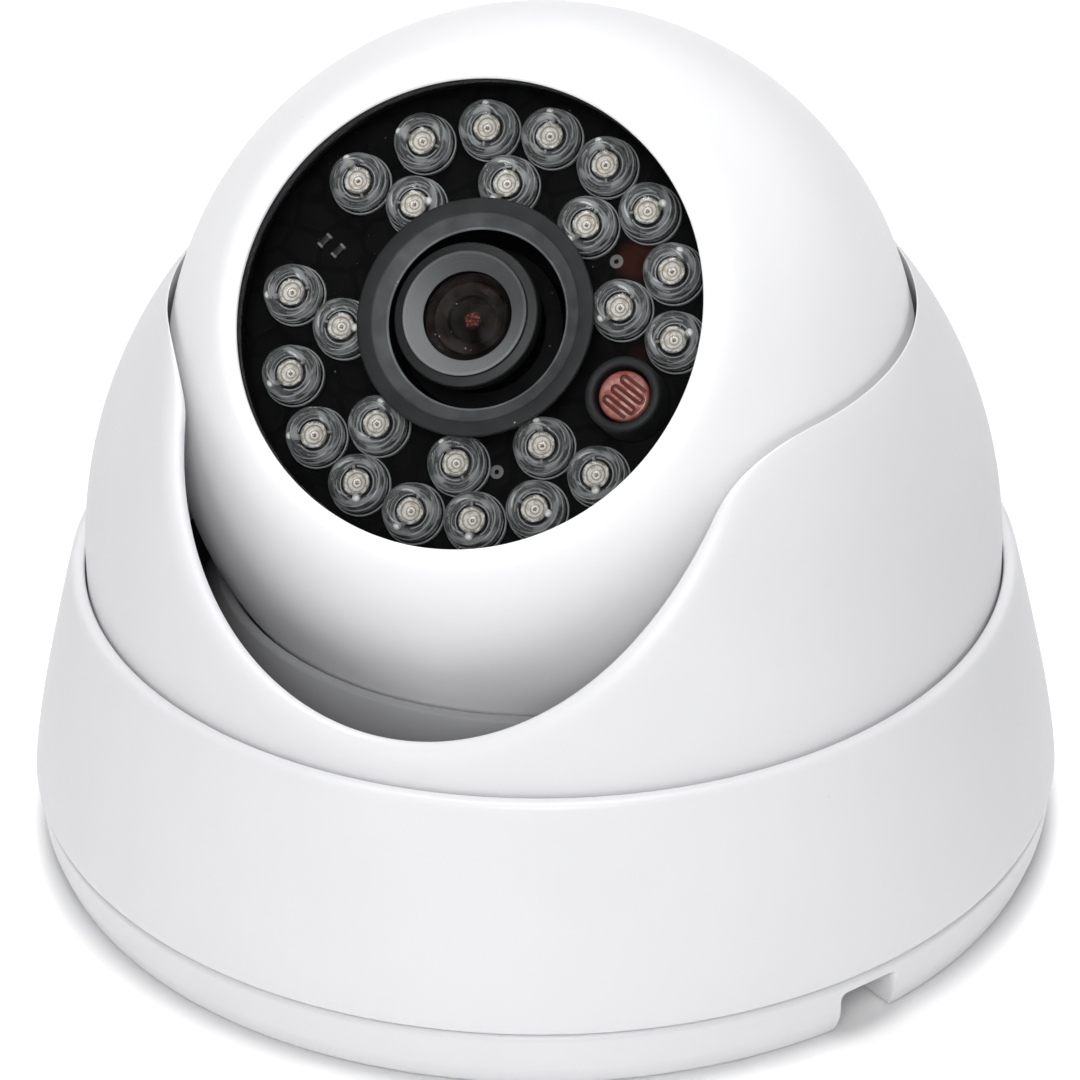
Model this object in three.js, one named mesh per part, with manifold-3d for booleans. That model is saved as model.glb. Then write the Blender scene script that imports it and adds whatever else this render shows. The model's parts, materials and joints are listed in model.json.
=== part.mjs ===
// Dome CCTV camera with an infrared eyeball: a round base, a skirt that twists on to it, a cover
// with a U-shaped opening that turns in the skirt, and a ball that tilts on two pins in the cover.
// Millimetres, +Z up, the opening faces -Y, the origin is the centre of the base's bottom face.
import * as THREE from 'three';
import { mergeVertices } from 'three/addons/utils/BufferGeometryUtils.js';
import Module from 'manifold-3d';

const wasm = await Module();
wasm.setup();

// ---- driving dimensions ----
const ROUND = 32;                    // facets round a large turned piece
const GAP = 0.3;                     // clearance between neighbouring pieces

const BASE_R = 46.4;                 // base plate, widest
const BASE_H = 5.75;                 // height of the base plate's outer rim
const FLOOR_H = 2.6;                 // thickness of the base plate's floor
const CABLE_HOLE_R = 7.0;            // central cable hole
const SCREW_HOLE_R = 2.2;            // fixing screw holes
const SCREW_CIRCLE_R = 30;
const NOTCH_ANGLE = 56.7;            // side cable notch, degrees from the front towards +X
const NOTCH_W = 5.9;
const NOTCH_H = 4.3;
const SPIGOT = { inner: 43.2, outer: 44.6, top: 8.6 };    // wall of the base that the skirt fits over
const TRACK = { inner: 39.7, outer: 42.0, top: 12.8 };    // wall of the base under the turning cover

const SKIRT_R = 46.6;                // skirt, widest
const SKIRT_Z = 6.05;                // bottom edge of the skirt
const SKIRT_TOP = 26.8;              // rim of the skirt
const SHOULDER_Z = 16.6;             // step inside the skirt that keeps the turning cover down
const SKIRT_BORE_R = 41.5;

const COVER_R = 41.1;                // turning cover: sphere of this radius
const COVER_Z = 28.0;                // centred at this height
const COVER_WALL = 2.0;
const COVER_TOP = 52.4;              // height of the cover's rim
const FLANGE_R = 42.9;
const FLANGE_Z = 14.5;
const FLANGE_H = 1.8;
const THROAT_Z = 40.0;               // lower edge of the ball socket inside the cover
const LUG_ANGLES = [30, 150, 270];   // where the seat ring is screwed to the cover
const LUG_R = 34.8;
const OPENING_R = 25.0;              // the U-shaped opening, seen from the front
const OPENING_Z = 55.3;
const SHOULDER_X = 29.5;             // where the opening's shoulder meets the rim

const BALL_R = 33.3;                 // eyeball
const BALL_Z = 44.15;                // height of the tilt axis
const BALL_WALL = 2.0;
const SOCKET_R = 33.8;               // ball socket inside the cover's rim
const LENS_ELEVATION = 40.7;         // degrees above level, as the ball rests
const SPLIT_H = -12.0;               // parting plane of the ball, along the lens axis
const PIN_R = 2.5;                   // tilt pins
const PIN_X = 36.0;

const WINDOW_HOLE_R = 20.46;         // bezel opening
const BEZEL_H = 25.1;                // bezel face, along the lens axis from the ball's centre
const WINDOW_R = 21.6;
const WINDOW_H = 23.7;
const WINDOW_T = 0.8;

const BOARD_FACE = 18.9;             // front face of the LED board
const BOARD_T = 1.6;
const BOARD_R = 24.2;
const POST_R = 22.7;                 // pitch radius of the posts that hold the LED board
const LED_FLANGE_R = 2.6;            // low straw-hat infrared LEDs
const LED_BODY_R = 2.4;
const LED_BASE = 19.2;
const LED_TIP = 23.4;
const OUTER_RING_R = 17.15;
const OUTER_ANGLES = [4, 24, 43.5, 62.5, 81.5, 100.5, 120, 142, 180, 204, 224, 243.5, 262, 280.5, 299, 319];
const INNER_RING_R = 12.3;
const INNER_ANGLES = [15, 53, 91.5, 131, 190.5, 235, 273, 309];
const CELL_ANGLE = -17.4;            // light sensor on the outer ring
const CELL_RING_R = 15.0;
const CELL_R = 2.2;

const LENS_X = -1.0;                 // the lens sits a little to one side of the ball's axis,
const LENS_Y = 0.3;
const HOOD_X = 0.2;                  // and its hood a little to the other
const BARREL_R = 5.4;
const GLASS_R = 3.6;

const SENSOR_BOARD_H = 7.4;          // back face of the image sensor's board
const SENSOR_BOARD_W = 34;
const STANDOFF_R = 15.6;             // pitch radius of the pillars between the two boards
const BOSS_R = 26.5;                 // pitch radius of the screws that close the ball
const THIRDS = [90, 210, 330];       // angles of the base's screws and of the LED board's posts
const BOSS_ANGLES = [30, 150, 270];

// ---- colours ----
const WHITE = { color: 0xf2f2f4, roughness: 0.35, metalness: 0 };
const BLACK_RUBBER = { color: 0x1b1c1e, roughness: 0.8, metalness: 0 };
const GREY_PLASTIC = { color: 0x8f9094, roughness: 0.5, metalness: 0 };
const BLACK_BOARD = { color: 0x0c0d0e, roughness: 0.45, metalness: 0 };
const GREEN_BOARD = { color: 0x1d5a38, roughness: 0.5, metalness: 0 };
const CLEAR = { color: 0xdfe4e8, roughness: 0.05, metalness: 0 };
const STEEL = { color: 0xb9bcc0, roughness: 0.3, metalness: 1 };
const DARK_METAL = { color: 0x3a3c40, roughness: 0.4, metalness: 0.8 };
const RED_CELL = { color: 0xb8685c, roughness: 0.5, metalness: 0 };
const CHIP = { color: 0x2a2d36, roughness: 0.2, metalness: 0.2 };

// ---- making closed solids ----
const radians = (degrees) => (degrees * Math.PI) / 180;

// One closed mesh: shared corners merged, collapsed triangles dropped, faces turned outwards.
function solid(geometry) {
  const plain = geometry.clone();
  plain.deleteAttribute('normal');
  plain.deleteAttribute('uv');
  const merged = mergeVertices(plain, 1e-4);
  const place = merged.getAttribute('position');
  const old = merged.getIndex().array;
  const faces = [];
  let volume = 0;
  const [a, b, c] = [new THREE.Vector3(), new THREE.Vector3(), new THREE.Vector3()];
  for (let i = 0; i < old.length; i += 3) {
    const [p, q, r] = [old[i], old[i + 1], old[i + 2]];
    if (p === q || q === r || r === p) continue;
    faces.push(p, q, r);
    a.fromBufferAttribute(place, p);
    b.fromBufferAttribute(place, q);
    c.fromBufferAttribute(place, r);
    volume += a.dot(b.cross(c));
  }
  if (volume < 0) {
    for (let i = 0; i < faces.length; i += 3) [faces[i], faces[i + 1]] = [faces[i + 1], faces[i]];
  }
  merged.setIndex(faces);
  return merged;
}

function toManifold(geometry) {
  const closed = solid(geometry);
  return new wasm.Manifold(new wasm.Mesh({
    numProp: 3,
    vertProperties: new Float32Array(closed.getAttribute('position').array),
    triVerts: new Uint32Array(closed.getIndex().array),
  }));
}

function fromManifold(manifold) {
  const mesh = manifold.getMesh();
  const geometry = new THREE.BufferGeometry();
  geometry.setAttribute('position', new THREE.BufferAttribute(new Float32Array(mesh.vertProperties), 3));
  geometry.setIndex(new THREE.BufferAttribute(new Uint32Array(mesh.triVerts), 1));
  return geometry;
}

// The first geometry with the others joined on and then the last ones cut away.
function carve(first, joined, cuts) {
  let body = toManifold(first);
  for (const piece of joined) body = body.add(toManifold(piece));
  for (const piece of cuts) body = body.subtract(toManifold(piece));
  return fromManifold(body);
}

// The part of a geometry that lies inside another.
function within(geometry, limit) {
  return fromManifold(toManifold(geometry).intersect(toManifold(limit)));
}

// A profile of [radius, height] points turned about Z. It closes on itself or meets the axis.
function turned(profile, segments = ROUND) {
  const points = profile.map(([r, z]) => new THREE.Vector2(r, z));
  const touchesAxis = profile[0][0] === 0 && profile[profile.length - 1][0] === 0;
  if (!touchesAxis) points.push(points[0].clone());
  return new THREE.LatheGeometry(points, segments).rotateX(Math.PI / 2);
}

function disc(radius, low, high, segments = 24) {
  return turned([[0, low], [radius, low], [radius, high], [0, high]], segments);
}

function ring(inner, outer, low, high, segments = 24) {
  return turned([[inner, low], [outer, low], [outer, high], [inner, high]], segments);
}

function box(width, depth, height, x, y, z) {
  return new THREE.BoxGeometry(width, depth, height).translate(x, y, z);
}

// Points on a circle about (0, centre) in [radius, height], from one height to another.
function sphereArc(radius, centre, from, to, steps) {
  const start = Math.asin((from - centre) / radius);
  const end = Math.asin((to - centre) / radius);
  return Array.from({ length: steps + 1 }, (_, i) => {
    const t = start + ((end - start) * i) / steps;
    return [radius * Math.cos(t), centre + radius * Math.sin(t)];
  });
}

const polar = (radius, degrees) => [radius * Math.cos(radians(degrees)), radius * Math.sin(radians(degrees))];

// Copies of a geometry at the same radius and several angles, each one kept upright.
function around(geometry, radius, angles) {
  return angles.map((angle) => {
    const [x, y] = polar(radius, angle);
    return geometry.clone().translate(x, y, 0);
  });
}

function mesh(name, geometry, look) {
  const piece = new THREE.Mesh(solid(geometry), new THREE.MeshStandardMaterial(look));
  piece.name = name;
  return piece;
}

// ---- base ----
function basePlate() {
  const plate = turned([
    [CABLE_HOLE_R, 0], [BASE_R - 1.5, 0], [BASE_R - 0.7, 0.8], [BASE_R - 0.25, 2.6], [BASE_R, 4.9],
    [BASE_R - 0.3, BASE_H], [SPIGOT.outer, BASE_H], [SPIGOT.outer, SPIGOT.top],
    [SPIGOT.inner, SPIGOT.top], [SPIGOT.inner, FLOOR_H], [TRACK.outer, FLOOR_H],
    [TRACK.outer, TRACK.top], [TRACK.inner, TRACK.top], [TRACK.inner, FLOOR_H], [CABLE_HOLE_R, FLOOR_H],
  ]);
  const notch = box(NOTCH_W, 14, NOTCH_H + 1, 0, -42, (NOTCH_H - 1) / 2).rotateZ(radians(NOTCH_ANGLE));
  const holes = around(disc(SCREW_HOLE_R, -1, FLOOR_H + 1, 16), SCREW_CIRCLE_R, THIRDS);
  return carve(plate, [], [notch, ...holes]);
}

function skirtCover() {
  const footR = SPIGOT.outer + GAP;
  const rimR = SKIRT_BORE_R + 1.45;
  const wall = new THREE.CubicBezierCurve(
    new THREE.Vector2(SKIRT_R, SKIRT_Z + 0.4), new THREE.Vector2(46.25, 10.5),
    new THREE.Vector2(44.7, 17.5), new THREE.Vector2(rimR, SKIRT_TOP - 1.6),
  ).getPoints(6).map((p) => [p.x, p.y]);
  return turned([
    [footR, SKIRT_Z], [SKIRT_R - 0.35, SKIRT_Z], ...wall, [rimR - 0.5, SKIRT_TOP - 0.35],
    [SKIRT_BORE_R + 0.4, SKIRT_TOP], [SKIRT_BORE_R, SKIRT_TOP - 0.3], [SKIRT_BORE_R, SHOULDER_Z],
    [FLANGE_R + 0.4, SHOULDER_Z], [footR - 0.8, 11.5], [footR, SPIGOT.top + 0.4],
  ]);
}

// ---- turning cover ----
// The front view of what is cut away: everything above the U-shaped opening and its shoulders.
function openingCutter() {
  const depth = OPENING_Z - COVER_TOP;
  const fillet = (SHOULDER_X ** 2 + depth ** 2 - OPENING_R ** 2) / (2 * (OPENING_R - depth));
  const lean = Math.asin((depth + fillet) / (OPENING_R + fillet));
  const centreZ = COVER_TOP - fillet;
  const shape = new THREE.Shape();
  shape.moveTo(-60, COVER_TOP);
  shape.lineTo(-SHOULDER_X, COVER_TOP);
  shape.absarc(-SHOULDER_X, centreZ, fillet, Math.PI / 2, lean, true);
  shape.absarc(0, OPENING_Z, OPENING_R, Math.PI + lean, 2 * Math.PI - lean, false);
  shape.absarc(SHOULDER_X, centreZ, fillet, Math.PI - lean, Math.PI / 2, true);
  shape.lineTo(60, COVER_TOP);
  shape.lineTo(60, 80);
  shape.lineTo(-60, 80);
  shape.closePath();
  return new THREE.ExtrudeGeometry(shape, { depth: 60, bevelEnabled: false, curveSegments: 9 })
    .rotateX(Math.PI / 2);
}

function swivelCover() {
  const inner = COVER_R - COVER_WALL;
  const throatR = Math.sqrt(SOCKET_R ** 2 - (THROAT_Z - BALL_Z) ** 2);
  const shell = turned([
    [inner, FLANGE_Z], [FLANGE_R, FLANGE_Z], [FLANGE_R, FLANGE_Z + FLANGE_H],
    [COVER_R, FLANGE_Z + FLANGE_H], [COVER_R, 22.0],
    ...sphereArc(COVER_R, COVER_Z, COVER_Z, 51.4, 7), [33.6, COVER_TOP],
    ...sphereArc(SOCKET_R, BALL_Z, COVER_TOP, THROAT_Z, 4),
    [throatR + 1.6, THROAT_Z - 1.2], ...sphereArc(inner, COVER_Z, 36.5, COVER_Z, 3),
  ]);
  const lugs = LUG_ANGLES.map((angle) => box(6.6, 6.4, 6.4, LUG_R + 1.6, 0, 22.6).rotateZ(radians(angle)));
  const pilots = around(disc(1.2, 19, 25, 12), LUG_R, LUG_ANGLES);
  const sockets = [-1, 1].map((side) => {
    const pinHole = disc(PIN_R + GAP, 30, PIN_X + GAP, 20);
    const washerSeat = disc(4.6, 30, 35.0, 20);
    return [pinHole, washerSeat].map((cut) => cut.rotateY((side * Math.PI) / 2).translate(0, 0, BALL_Z));
  });
  return carve(shell, lugs, [openingCutter(), ...pilots, ...sockets.flat()]);
}

function seatRing() {
  const plate = turned([
    [38.0, 17.4], [38.0, 19.0], [32.7, 19.1], [30.6, 23.4], [29.6, 26.8], [28.8, 26.8], [26.0, 22.8],
    [26.0, 21.6], [28.4, 17.4],
  ]);
  return carve(plate, [], around(disc(1.3, 17, 20, 12), LUG_R, LUG_ANGLES));
}

function seatScrew() {
  return turned([[0, 15.8], [2.0, 15.8], [2.0, 17.1], [0.9, 17.1], [0.9, 24.0], [0, 24.4]], 12);
}

// ---- ball, in its own frame: Z is the lens axis, Y is up across the window ----
function ballFrontShell() {
  const inner = BALL_R - BALL_WALL;
  const shell = turned([
    ...sphereArc(BALL_R, 0, SPLIT_H, 20.15, 9),
    [25.2, 21.95], [24.3, 23.0], [23.3, 24.0], [22.0, BEZEL_H], [WINDOW_HOLE_R, BEZEL_H],
    [WINDOW_HOLE_R, 24.7], [21.9, 24.7], [21.9, 21.6],
    ...sphereArc(inner, 0, 19.5, SPLIT_H, 6),
  ]);
  const pins = [-1, 1].map((side) => disc(PIN_R, 32.0, PIN_X, 20).rotateY((side * Math.PI) / 2));
  const posts = around(disc(1.8, BOARD_FACE + GAP, 22.2, 12), POST_R, THIRDS);
  const bosses = BOSS_ANGLES.map((angle) => box(6.5, 6, 7, 27.3, 0, SPLIT_H + 3.5).rotateZ(radians(angle)));
  const pilots = [
    ...around(disc(1.0, 18, 21.8, 10), POST_R, THIRDS),
    ...around(disc(1.2, SPLIT_H - 1, -5.5, 8), BOSS_R, BOSS_ANGLES),
  ];
  return carve(shell, [...pins, ...posts, ...bosses], pilots);
}

function ballRearShell() {
  const low = SPLIT_H - GAP;
  const inner = BALL_R - BALL_WALL;
  const leadHoleR = 4.2;
  const outerEnd = -Math.sqrt(BALL_R ** 2 - leadHoleR ** 2);
  const innerEnd = -Math.sqrt(inner ** 2 - leadHoleR ** 2);
  const shell = turned([
    ...sphereArc(inner, 0, innerEnd, low, 5),
    ...sphereArc(BALL_R, 0, low, outerEnd, 5),
  ]);
  const middle = turned([[0, -32.5], ...sphereArc(32.5, 0, -32, low, 7), [0, low]]);
  const bosses = around(disc(3.4, -24, low, 12), BOSS_R, BOSS_ANGLES).map((boss) => within(boss, middle));
  const holes = [
    ...around(disc(2.4, -30, -15.5, 12), BOSS_R, BOSS_ANGLES),
    ...around(disc(1.3, -17, -11, 8), BOSS_R, BOSS_ANGLES),
  ];
  return carve(shell, bosses, holes);
}

function shellScrew() {
  return turned([[0, -17.4], [1.9, -17.4], [1.9, -15.8], [0.9, -15.8], [0.9, -7], [0, -6.6]], 10);
}

function boardScrew() {
  return turned([[0, 15.6], [1.6, 15.6], [1.6, 17.0], [0.7, 17.0], [0.7, 21.4], [0, 21.6]], 10);
}

function led() {
  const dome = LED_TIP - LED_BODY_R;
  const steps = [0, 1, 2].map((i) => (i * Math.PI) / 6);
  return turned([
    [0, LED_BASE], [LED_FLANGE_R, LED_BASE], [LED_FLANGE_R, LED_BASE + 0.7], [LED_BODY_R, LED_BASE + 0.7],
    ...steps.map((t) => [LED_BODY_R * Math.cos(t), dome + LED_BODY_R * Math.sin(t)]),
    [0, LED_TIP],
  ], 8);
}

function lensHood() {
  const top = WINDOW_H - GAP;
  return turned([
    [7.6, LED_BASE], [9.2, LED_BASE], [9.2, 21.0], [9.5, 21.8], [10.45, 22.9], [10.45, top],
    [9.1, top], [7.9, top - 0.5], [7.7, top - 0.8], [7.9, 20.4],
  ], 24);
}

function lensBarrel() {
  return turned([
    [3.2, 10.6], [BARREL_R, 10.6], [BARREL_R, 20.7], [6.2, 20.9], [6.2, 22.2], [5.6, 22.6],
    [BARREL_R, 22.7], [GLASS_R + 0.3, 22.1], [GLASS_R + 0.3, 20.9], [3.2, 20.3],
  ], 24);
}

function frontGlass() {
  return turned([[0, 21.05], [GLASS_R, 21.05], [GLASS_R, 21.6], [2.4, 22.05], [0, 22.3]], 24);
}

function lensHolder() {
  const boreR = BARREL_R + GAP;
  const tube = ring(boreR, 7.2, 11.0, 16.9);
  const foot = box(18, 18, 2.0, 0, 0, 10.3);
  const bore = disc(boreR, 8, 12.5);
  return carve(foot, [tube], [bore]);
}

function ledBoard() {
  const holes = around(disc(1.0, 10, 20, 10), POST_R, THIRDS);
  return carve(ring(8.0, BOARD_R, BOARD_FACE - BOARD_T, BOARD_FACE, 32), [], holes);
}

// The lead that joins the two boards, curved out past the edge of the sensor board.
function linkLead() {
  const route = new THREE.CatmullRomCurve3([
    new THREE.Vector3(0, -19.5, 17.0), new THREE.Vector3(0, -19.6, 14.5), new THREE.Vector3(0, -20.6, 11),
    new THREE.Vector3(0, -21.0, 7.5), new THREE.Vector3(0, -18.5, 4.6), new THREE.Vector3(0, -13.6, 4.4),
  ]);
  const section = new THREE.Shape();
  section.absarc(0, 0, 0.8, 0, 2 * Math.PI, false);
  return new THREE.ExtrudeGeometry(section, { steps: 12, curveSegments: 4, extrudePath: route });
}

// Numbered copies of a piece at the same radius and several angles.
function addAround(group, name, geometry, look, radius, angles) {
  angles.forEach((angle, i) => {
    const copy = mesh(`${name}_${i + 1}`, geometry, look);
    const [x, y] = polar(radius, angle);
    copy.position.set(x, y, 0);
    group.add(copy);
  });
}

// ---- assembly ----
const camera = new THREE.Group();

const base = new THREE.Group();
base.add(mesh('base_plate', basePlate(), WHITE));
base.add(mesh('skirt_cover', skirtCover(), WHITE));
base.add(mesh('pan_friction_ring', ring(39.9, 41.8, 13.1, 14.2, ROUND), BLACK_RUBBER));
base.add(mesh('cable_grommet', turned([
  [3.6, 0.4], [6.6, 0.4], [6.6, 2.9], [8.6, 2.9], [8.6, 3.8], [3.6, 3.8],
], 24), BLACK_RUBBER));
camera.add(base);

const swivel = new THREE.Group();
swivel.add(mesh('swivel_cover', swivelCover(), WHITE));
swivel.add(mesh('ball_seat_ring', seatRing(), GREY_PLASTIC));
addAround(swivel, 'seat_screw', seatScrew(), STEEL, LUG_R, LUG_ANGLES);
[['tilt_washer_left', -1], ['tilt_washer_right', 1]].forEach(([name, side]) => {
  const washer = mesh(name, ring(PIN_R + 0.25, 4.3, 33.65, 34.7, 20), BLACK_RUBBER);
  washer.rotation.y = (side * Math.PI) / 2;
  washer.position.z = BALL_Z;
  swivel.add(washer);
});
camera.add(swivel);

const ball = new THREE.Group();
ball.position.z = BALL_Z;
ball.rotation.x = radians(90 - LENS_ELEVATION);
ball.add(mesh('ball_front_shell', ballFrontShell(), WHITE));
ball.add(mesh('ball_rear_shell', ballRearShell(), WHITE));
ball.add(mesh('window', disc(WINDOW_R, WINDOW_H, WINDOW_H + WINDOW_T, ROUND), CLEAR));
ball.add(mesh('window_gasket', ring(20.4, WINDOW_R, 22.5, WINDOW_H - GAP, ROUND), BLACK_RUBBER));
ball.add(mesh('led_board', ledBoard(), BLACK_BOARD));

const ledPlaces = [
  ...OUTER_ANGLES.map((angle) => polar(OUTER_RING_R, angle)),
  ...INNER_ANGLES.map((angle) => polar(INNER_RING_R, angle)),
];
ledPlaces.forEach(([x, y], i) => {
  const lamp = mesh(`ir_led_${String(i + 1).padStart(2, '0')}`, led(), CLEAR);
  lamp.position.set(x, y, 0);
  ball.add(lamp);
});

const [cellX, cellY] = polar(CELL_RING_R, CELL_ANGLE);
const cell = mesh('light_sensor', disc(CELL_R, LED_BASE, 22.6, 16), RED_CELL);
const cellSleeve = mesh('light_sensor_sleeve', ring(CELL_R + 0.25, 3.3, LED_BASE, 23.2, 20), BLACK_RUBBER);
cell.position.set(cellX, cellY, 0);
cellSleeve.position.set(cellX, cellY, 0);
ball.add(cell, cellSleeve);

const hood = mesh('lens_hood', lensHood(), BLACK_RUBBER);
hood.position.x = HOOD_X;
ball.add(hood);

const lens = [
  mesh('lens_barrel', lensBarrel(), DARK_METAL),
  mesh('lens_front_glass', frontGlass(), CLEAR),
  mesh('lens_holder', lensHolder(), BLACK_RUBBER),
  mesh('image_sensor', box(7.0, 6.0, 0.9, 0, 0, 9.75), CHIP),
];
lens.forEach((piece) => piece.position.set(LENS_X, LENS_Y, 0));
ball.add(...lens);

ball.add(mesh('sensor_board', box(
  SENSOR_BOARD_W, SENSOR_BOARD_W, BOARD_T, 0, 0, SENSOR_BOARD_H + BOARD_T / 2,
), GREEN_BOARD));
ball.add(mesh('board_connector', box(7.0, 4.0, 3.4, 0, -11.0, 5.4), WHITE));
ball.add(mesh('board_link_lead', linkLead(), BLACK_RUBBER));
addAround(ball, 'standoff', disc(2.0, 9.3, 17.0, 6), STEEL, STANDOFF_R, [72, 192, 312]);
addAround(ball, 'board_screw', boardScrew(), STEEL, POST_R, THIRDS);
addAround(ball, 'shell_screw', shellScrew(), STEEL, BOSS_R, BOSS_ANGLES);
camera.add(ball);

export default camera;
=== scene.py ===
"""The looks of a dome CCTV camera: white satin shells, a clear window, infrared lamps and a lens.

Profiles are in millimetres, as (radius, height) about a piece's own axis. Objects are in metres.
"""

import json
from math import acos, asin, atan2, cos, degrees, hypot, pi, radians, sin, sqrt, tan

import bmesh
import bpy
from mathutils import Matrix, Vector


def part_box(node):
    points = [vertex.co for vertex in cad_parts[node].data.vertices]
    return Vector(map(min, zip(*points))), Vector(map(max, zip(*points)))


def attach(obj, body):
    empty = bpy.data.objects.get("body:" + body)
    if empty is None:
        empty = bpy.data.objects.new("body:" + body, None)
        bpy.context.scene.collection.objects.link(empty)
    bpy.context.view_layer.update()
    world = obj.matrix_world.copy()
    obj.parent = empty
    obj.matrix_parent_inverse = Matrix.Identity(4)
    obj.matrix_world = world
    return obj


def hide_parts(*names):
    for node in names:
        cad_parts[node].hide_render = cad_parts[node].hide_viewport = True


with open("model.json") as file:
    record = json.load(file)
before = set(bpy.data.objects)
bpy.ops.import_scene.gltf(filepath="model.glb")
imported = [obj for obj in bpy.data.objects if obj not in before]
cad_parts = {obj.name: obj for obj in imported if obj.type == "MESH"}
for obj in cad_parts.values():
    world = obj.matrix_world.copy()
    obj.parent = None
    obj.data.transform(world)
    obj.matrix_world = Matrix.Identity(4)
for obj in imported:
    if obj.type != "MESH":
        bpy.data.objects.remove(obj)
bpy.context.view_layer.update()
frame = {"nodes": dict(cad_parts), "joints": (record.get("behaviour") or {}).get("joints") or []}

MM = 0.001
ROUND = 192                     # facets round a large turned piece
SMALL_ROUND = 64                # facets round a small one
SHARP = radians(32)        # a sharper edge than this isn't smoothed
STRAIGHT = 1.57                 # half the angle between two sides that hardly turn


# ---- the frame's axes and sizes ----
def joint(name):
    return next(j for j in frame["joints"] if j["name"] == name)


def node_centre(node):
    low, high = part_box(node)
    return (low + high) / 2


def ball_matrix():
    """Z is the lens axis, X is the tilt axis, and the origin is the ball's centre."""
    pivot = Vector(joint("ball_tilt")["pos_m"])
    lens = (node_centre("window") - pivot).normalized()
    side = Vector((1, 0, 0))
    up = lens.cross(side)
    axes = Matrix((side, up, lens)).transposed().to_4x4()
    return Matrix.Translation(pivot) @ axes


UPRIGHT = Matrix.Identity(4)
BALL = ball_matrix()


def points_of(node, matrix):
    """A node's points in millimetres, in the matrix's frame."""
    inverse = matrix.inverted()
    return [(inverse @ v.co) / MM for v in frame["nodes"][node].data.vertices]


def span(node, matrix=UPRIGHT):
    """A node's largest radius about the matrix's Z axis, and its lowest and highest point along it."""
    points = points_of(node, matrix)
    return (
        max(hypot(p.x, p.y) for p in points),
        min(p.z for p in points),
        max(p.z for p in points),
    )


def place_of(node):
    """Where the middle of a node is on the XY plane of the ball's frame."""
    xs, ys, _ = zip(*points_of(node, BALL))
    return (min(xs) + max(xs)) / 2, (min(ys) + max(ys)) / 2


def at(x, y=0.0, z=0.0, matrix=BALL):
    """The matrix moved by millimetres along its own axes."""
    return matrix @ Matrix.Translation((x * MM, y * MM, z * MM))


def about(angle, matrix=BALL):
    """The matrix turned by degrees about its own Z axis."""
    return matrix @ Matrix.Rotation(radians(angle), 4, "Z")


def facing_side(side, matrix=BALL):
    """The matrix with its Z axis along the tilt axis, to the right for 1 and to the left for -1."""
    return matrix @ Matrix.Rotation(side * pi / 2, 4, "Y")


BASE_R = span("base_plate")[0]
BASE_TOP = 5.75                 # the base's outer rim
FLOOR_TOP = 2.6
SKIRT_R, SKIRT_LOW, SKIRT_TOP = span("skirt_cover")
FLANGE_R, FLANGE_LOW, COVER_TOP = span("swivel_cover")
PIVOT_Z = joint("ball_tilt")["pos_m"][2] / MM
COVER_R = 41.1                  # the turning cover is a sphere of this radius,
COVER_Z = 28.0                  # centred at this height
OPENING_R = 25.0                # its U-shaped opening, seen from the front
OPENING_Z = 55.3
SHOULDER_X = 29.5               # where the opening's shoulder meets the rim
COVER_WALL = 1.7                # at the edge of the opening
SOCKET_R = 33.8                 # ball socket inside the cover
NOTCH_ANGLE = 56.7              # side cable notch, degrees from the front towards +X
NOTCH_W, NOTCH_H = 5.9, 4.3

BALL_R = span("ball_rear_shell", BALL @ Matrix.Rotation(pi / 2, 4, "X"))[0]
BALL_WALL = 2.0
SPLIT_H = span("ball_rear_shell", BALL)[2]
BEZEL_H = span("ball_front_shell", BALL)[2]
WINDOW_R, WINDOW_LOW, WINDOW_HIGH = span("window", BALL)
WINDOW_HOLE_R = 20.46
BOARD_R, BOARD_LOW, BOARD_FACE = span("led_board", BALL)
LAMPS = sorted(n for n in frame["nodes"] if n.startswith("ir_led_"))
LAMP_BASE, LAMP_TIP = span(LAMPS[0], BALL)[1:]
LAMP_H = LAMP_TIP - LAMP_BASE
FLANGE, BODY = 2.65, 2.45       # radii of a lamp's foot and body
DOME_H = LAMP_H - BODY          # where a lamp's round end begins


# ---- mesh helpers ----
def linked(name, data):
    """A new object in the scene."""
    obj = bpy.data.objects.new(name, data)
    bpy.context.scene.collection.objects.link(obj)
    return obj


def mesh_object(name, points, faces, matrix=UPRIGHT):
    """A smooth-shaded object from points in millimetres, with its faces turned outwards."""
    mesh = bpy.data.meshes.new(name)
    mesh.from_pydata([tuple(c * MM for c in p) for p in points], [], faces)
    tidy = bmesh.new()
    tidy.from_mesh(mesh)
    bmesh.ops.remove_doubles(tidy, verts=tidy.verts, dist=1e-7)
    bmesh.ops.recalc_face_normals(tidy, faces=tidy.faces)
    tidy.to_mesh(mesh)
    tidy.free()
    smooth(mesh)
    obj = linked(name, mesh)
    obj.matrix_world = matrix
    return obj


def smooth(mesh):
    mesh.polygons.foreach_set("use_smooth", [True] * len(mesh.polygons))
    mesh.set_sharp_from_angle(angle=SHARP)


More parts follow.
